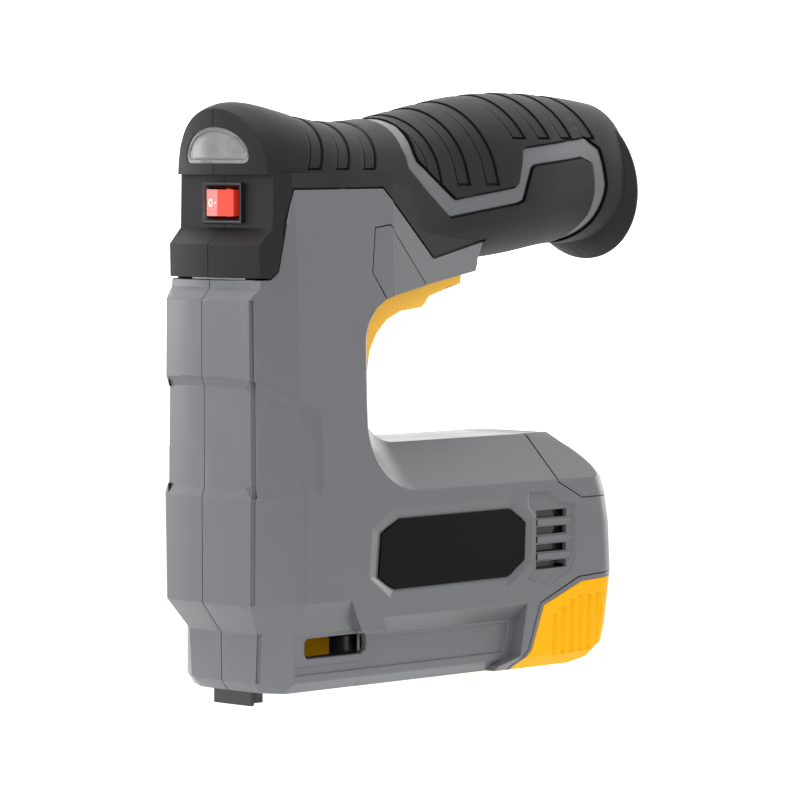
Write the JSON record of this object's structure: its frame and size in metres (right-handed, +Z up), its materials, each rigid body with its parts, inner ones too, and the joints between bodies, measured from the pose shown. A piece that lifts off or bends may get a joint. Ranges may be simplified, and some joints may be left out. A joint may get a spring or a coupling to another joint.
{
  "type": "cordless stapler",
  "caption": "Hand-held cordless stapler in a C shape with a soft round grip, finger trigger, work light, rocker switch, side magazine window and a pull-out magazine cap.",
  "frame": {"origin": "middle of the nose tip, where the staple leaves", "axes": "+X to the back of the tool, along the magazine; +Y to the side without the name plate; +Z up"},
  "size_m": [0.1576, 0.05, 0.168],
  "materials": {
    "grey_plastic": "fine matte texture",
    "soft_black": "soft matte overmould",
    "yellow_plastic": "satin",
    "red_plastic": "gloss",
    "black_plastic": "satin",
    "plate_black": "satin, bare",
    "clear_lens": "frosted",
    "led_epoxy": "clear",
    "steel": "ground",
    "dark_steel": "blackened",
    "spring_steel": "drawn wire",
    "zinc": "zinc plated",
    "gear_metal": "sintered",
    "bumper_rubber": "matte",
    "cell_wrap": "shrink film",
    "nickel": "plated",
    "board_green": "solder mask",
    "socket_steel": "plated"
  },
  "bodies": {
    "tool": {"housing_left": "grey_plastic", "housing_right": "grey_plastic", "head_overmold_left": "soft_black", "head_overmold_right": "soft_black", "grip_overmold_left": "soft_black", "grip_overmold_right": "soft_black", "rear_cover": "grey_plastic", "trigger_bezel": "grey_plastic", "name_plate": "plate_black", "housing_screws": "zinc", "led_lens": "clear_lens", "led": "led_epoxy", "led_board": "board_green", "switch_body": "black_plastic", "motor_can": "steel", "motor_end_cap": "black_plastic", "motor_plate": "steel", "motor_screws": "zinc", "gear_axles": "steel", "striker_guide": "steel", "spring_seat": "dark_steel", "main_spring": "spring_steel", "bumper": "bumper_rubber", "nose_block": "dark_steel", "safety_spring": "spring_steel", "staple_channel": "steel", "trigger_switch": "black_plastic", "trigger_spring": "spring_steel", "battery_cell": "cell_wrap", "battery_tabs": "nickel", "control_board": "board_green", "charge_board": "board_green", "charge_socket": "socket_steel"},
    "striker": {"striker": "dark_steel", "driver_blade": "steel"},
    "lift_gear": {"lift_gear": "gear_metal"},
    "gear_two": {"gear_two": "gear_metal"},
    "gear_one": {"gear_one": "gear_metal"},
    "rotor": {"motor_shaft": "steel", "motor_pinion": "gear_metal"},
    "trigger": {"trigger": "yellow_plastic"},
    "plunger": {"switch_plunger": "black_plastic"},
    "rocker": {"rocker": "red_plastic"},
    "magazine": {"magazine_cap": "yellow_plastic", "cap_rim": "grey_plastic", "magazine_rail": "steel", "pusher_spring": "spring_steel"},
    "pusher": {"pusher": "yellow_plastic"},
    "safety": {"safety_nose": "dark_steel"}
  },
  "joints": [
    {"name": "striker_slide", "type": "slide", "parent": "tool", "child": "striker", "axis": [0, 0, 1], "range_m": [0, 0.021], "stiffness_N_per_m": 1800, "springref_m": -0.02, "deforming": ["main_spring"]},
    {"name": "lift_spin", "type": "hinge", "parent": "tool", "child": "lift_gear", "pos_m": [0.028, 0, 0.05], "axis": [0, 1, 0], "range_deg": [-1, 61]},
    {"name": "gear_two_spin", "type": "hinge", "parent": "tool", "child": "gear_two", "pos_m": [0.05375, 0, 0.04638], "axis": [0, 1, 0], "range_deg": [-163, 1]},
    {"name": "gear_one_spin", "type": "hinge", "parent": "tool", "child": "gear_one", "pos_m": [0.07719, 0, 0.04225], "axis": [0, 1, 0], "range_deg": [-1, 485]},
    {"name": "motor_spin", "type": "hinge", "parent": "tool", "child": "rotor", "pos_m": [0.09843, 0, 0.04523], "axis": [0, 1, 0], "range_deg": [-2179, 1]},
    {"name": "trigger_pull", "type": "hinge", "parent": "tool", "child": "trigger", "pos_m": [0.043, 0, 0.116], "axis": [0, -1, 0], "range_deg": [0, 5], "stiffness_Nm_per_rad": 2, "springref_deg": -5.73, "deforming": ["trigger_spring"]},
    {"name": "plunger_slide", "type": "slide", "parent": "tool", "child": "plunger", "axis": [0, 0, 1], "range_m": [0, 0.0014]},
    {"name": "rocker_tilt", "type": "hinge", "parent": "tool", "child": "rocker", "pos_m": [-0.0026, 0, 0.1372], "axis": [0, 0, 1], "range_deg": [0, 10]},
    {"name": "magazine_slide", "type": "slide", "parent": "tool", "child": "magazine", "axis": [1, 0, 0], "range_m": [0, 0.075]},
    {"name": "pusher_slide", "type": "slide", "parent": "magazine", "child": "pusher", "axis": [1, 0, 0], "range_m": [0, 0.045], "stiffness_N_per_m": 60, "springref_m": -0.05, "deforming": ["pusher_spring"]},
    {"name": "safety_slide", "type": "slide", "parent": "tool", "child": "safety", "axis": [0, 0, 1], "range_m": [0, 0.0035], "stiffness_N_per_m": 900, "springref_m": -0.006, "deforming": ["safety_spring"]}
  ],
  "couplings": [
    {"joint": "lift_spin", "follows": "striker_slide", "rad_per_m": 49.383},
    {"joint": "gear_two_spin", "follows": "striker_slide", "rad_per_m": -134.04},
    {"joint": "gear_one_spin", "follows": "striker_slide", "rad_per_m": 402.12},
    {"joint": "motor_spin", "follows": "striker_slide", "rad_per_m": -1809.5},
    {"joint": "plunger_slide", "follows": "trigger_pull", "m_per_rad": 0.0138}
  ]
}
